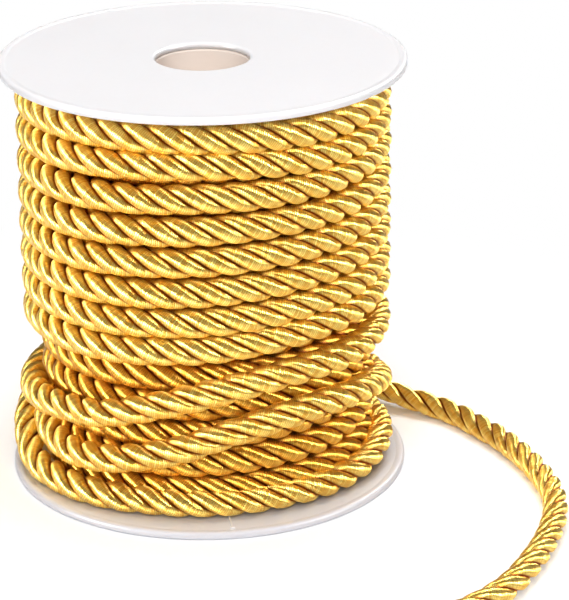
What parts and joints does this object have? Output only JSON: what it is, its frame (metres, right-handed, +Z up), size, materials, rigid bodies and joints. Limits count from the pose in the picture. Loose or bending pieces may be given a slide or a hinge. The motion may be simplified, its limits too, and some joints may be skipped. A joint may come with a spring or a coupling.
{
  "type": "twisted cord on a reel",
  "caption": "Satin three-ply twisted cord wound in layers on a flanged plastic reel, slack at the foot, with a loose end lying beside it.",
  "frame": {"origin": "centre of the reel's underside, on its axis", "axes": "+Z up along the reel's axis, -Y towards the viewer of the picture, +X to the right, where the loose end lies"},
  "size_m": [0.0893, 0.1013, 0.0694],
  "materials": {
    "reel_plastic": "smooth white moulded plastic",
    "hub_board": "matt pale beige tube",
    "gold_cord": "satin gold rayon yarn in three twisted plies"
  },
  "bodies": {
    "root": {"reel_flange_bottom": "reel_plastic", "reel_flange_top": "reel_plastic", "reel_hub": "hub_board", "wound_cord": "gold_cord", "loose_end": "gold_cord"}
  },
  "joints": []
}
